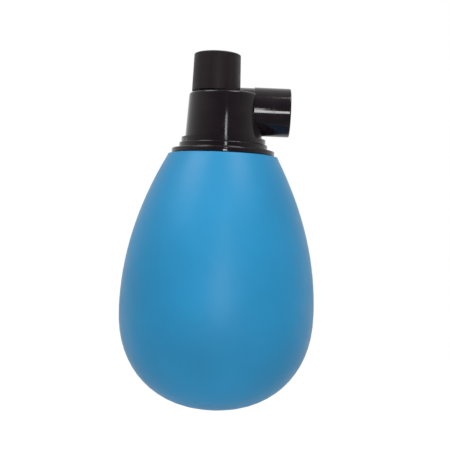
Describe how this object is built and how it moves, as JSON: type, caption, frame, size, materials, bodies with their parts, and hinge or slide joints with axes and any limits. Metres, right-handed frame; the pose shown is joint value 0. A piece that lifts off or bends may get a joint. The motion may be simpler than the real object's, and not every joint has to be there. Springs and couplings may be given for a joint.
{
  "type": "pipette filler bulb",
  "caption": "Soft egg-shaped squeeze bulb under a round valve head with a side socket that grips a pipette and a sprung push button on top.",
  "frame": {"origin": "centre of the pipette socket's mouth, in the plane of the socket's end face", "axes": "+X out of the socket, the way the pipette leaves; +Z parallel to the bulb's axis, from the bulb towards the button"},
  "size_m": [0.06, 0.06, 0.1097],
  "materials": {
    "bulb_rubber": "smooth, softly shining blue rubber",
    "head_plastic": "polished moulded plastic, nearly black with a brown cast",
    "button_plastic": "satin moulded plastic, nearly black",
    "seal_rubber": "matt black rubber",
    "nylon": "natural nylon",
    "spring_steel": "bright drawn steel",
    "brass_fittings": "turned brass"
  },
  "bodies": {
    "head": {"bulb": "bulb_rubber", "base_plug": "head_plastic", "housing_o_ring": "seal_rubber", "valve_housing": "head_plastic", "socket_sleeve": "head_plastic", "socket_washer": "seal_rubber", "pipette_seal": "seal_rubber", "gland_bush": "nylon", "stem_o_ring": "seal_rubber", "spring_washer": "spring_steel", "return_spring": "spring_steel"},
    "plunger": {"button_cap": "button_plastic", "plunger_stem": "nylon", "valve_disc": "seal_rubber", "disc_carrier": "brass_fittings", "disc_nut": "brass_fittings", "vent_seat": "seal_rubber", "vent_spring": "spring_steel", "vent_plug": "button_plastic"},
    "check_ball": {"vent_ball": "spring_steel"}
  },
  "joints": [
    {"name": "button_press", "type": "slide", "parent": "head", "child": "plunger", "axis": [0, 0, -1], "range_m": [0, 0.0013], "stiffness_N_per_m": 900, "springref_m": -0.004, "deforming": ["return_spring"]},
    {"name": "ball_lift", "type": "slide", "parent": "plunger", "child": "check_ball", "axis": [0, 0, 1], "range_m": [0, 0.0006], "stiffness_N_per_m": 20, "springref_m": -0.0015, "deforming": ["vent_spring"]}
  ]
}
